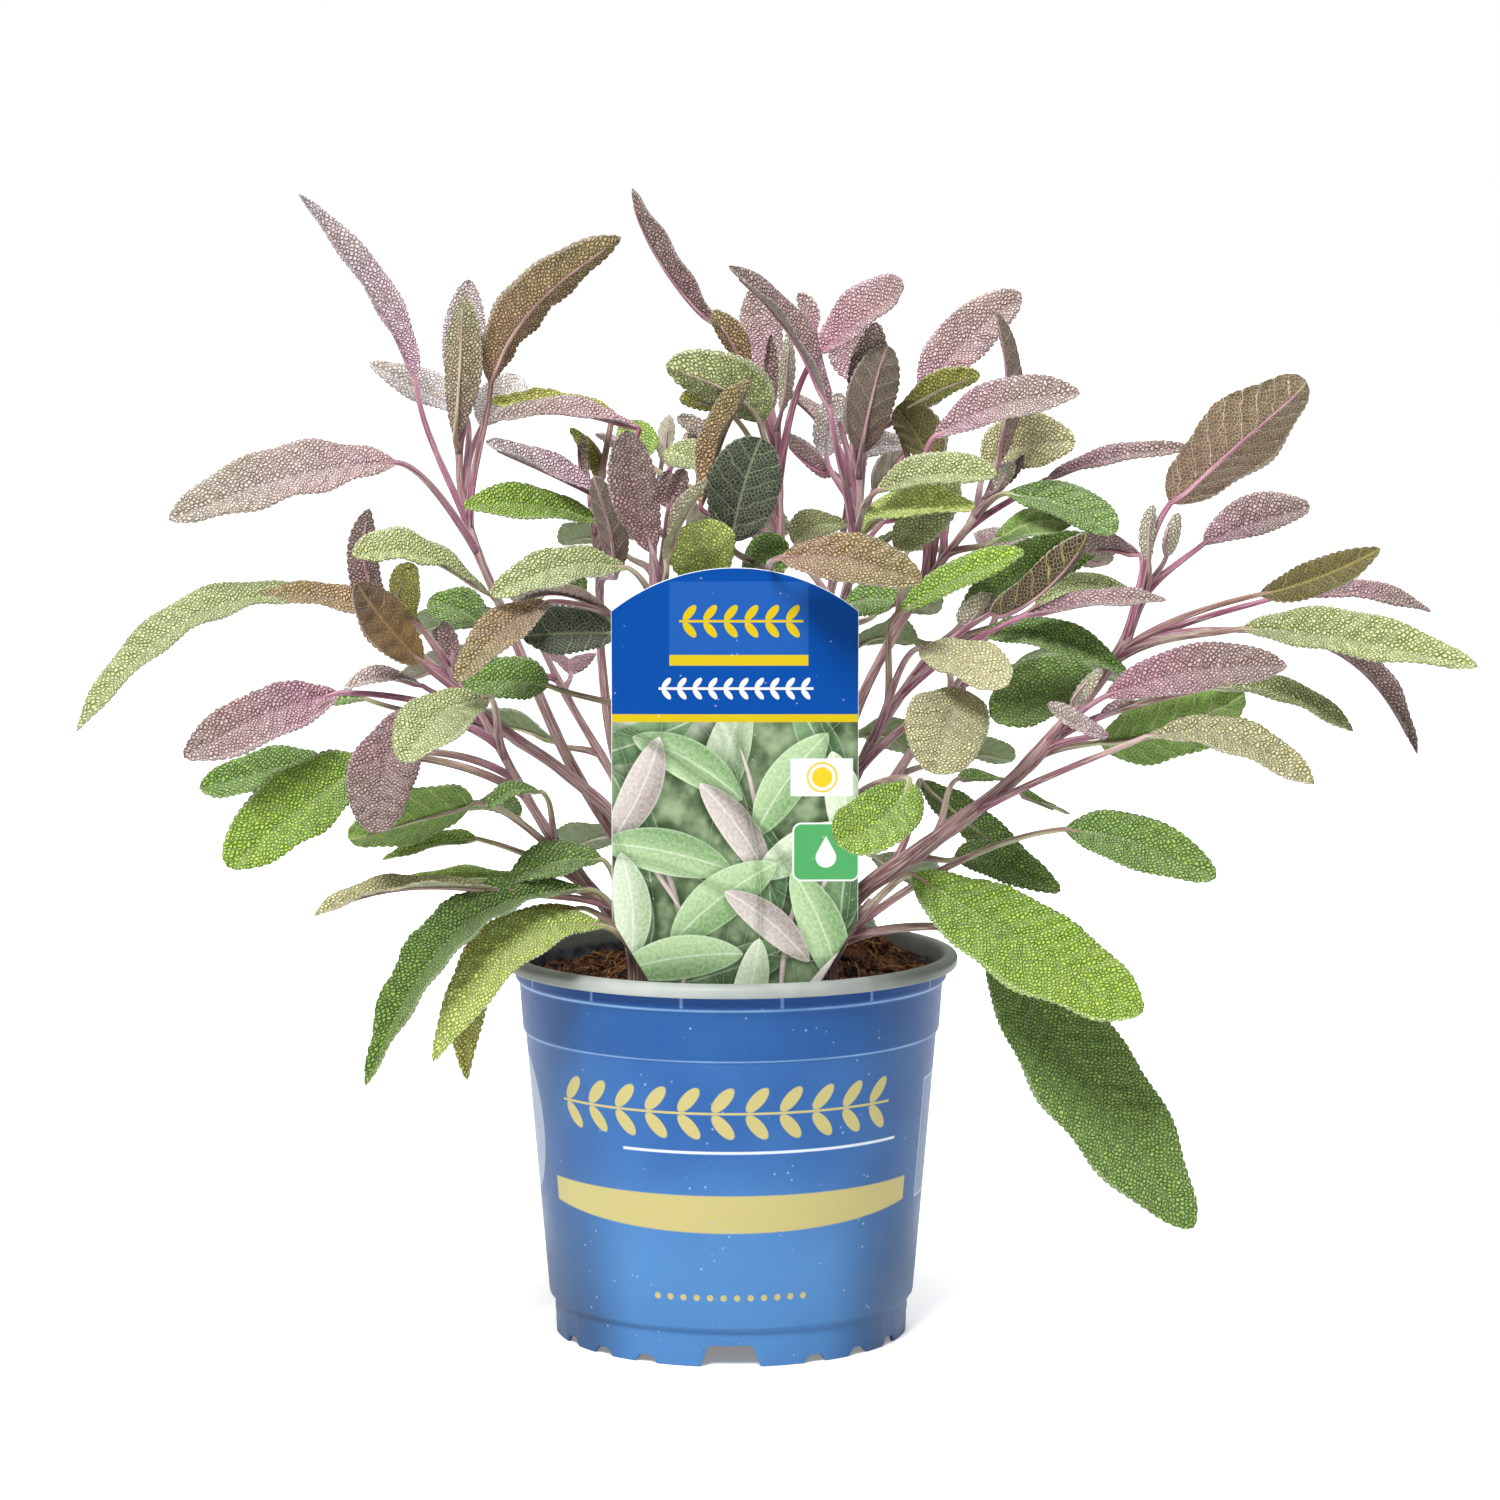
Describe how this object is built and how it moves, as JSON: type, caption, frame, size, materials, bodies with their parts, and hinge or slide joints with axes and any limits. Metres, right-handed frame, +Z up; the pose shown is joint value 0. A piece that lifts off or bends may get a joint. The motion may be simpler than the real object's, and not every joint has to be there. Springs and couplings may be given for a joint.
{
  "type": "potted sage plant",
  "caption": "Bushy sage with narrow pebbled leaves, grey-purple above and green below, in a round tapered blue plastic nursery pot of peat with an upright arched card label.",
  "frame": {"origin": "the middle of the pot's underside, on the surface that it stands on", "axes": "+Z up along the pot's axis, +X to the right of someone who reads the label, along the plant's widest spread, +Y away from them"},
  "size_m": [0.3492, 0.206, 0.3005],
  "materials": {
    "pot_plastic": "thin formed plastic, softly glossy, with faint streaks down the wall and a paler rolled rim",
    "peat": "damp dark crumbs with reddish fibres, fully matt",
    "label_card": "thin printed plastic card with a smooth gloss",
    "foliage": "felted, finely pebbled leaf, matt with a faint pale sheen"
  },
  "bodies": {
    "root": {"pot": "pot_plastic", "soil": "peat", "label": "label_card", "shoot_left_tall": "foliage", "shoot_left_back": "foliage", "shoot_left_mid": "foliage", "shoot_left_low": "foliage", "shoot_left_foot": "foliage", "shoot_front_left": "foliage", "shoot_centre": "foliage", "shoot_centre_right": "foliage", "shoot_right_up": "foliage", "shoot_right_mid": "foliage", "shoot_right_big": "foliage", "shoot_right_foot": "foliage", "shoot_mid_back_left": "foliage", "shoot_mid_back_right": "foliage", "shoot_back_left": "foliage", "shoot_back_mid_left": "foliage", "shoot_back_mid_right": "foliage", "shoot_back_right": "foliage", "shoot_back_low": "foliage"}
  },
  "joints": []
}
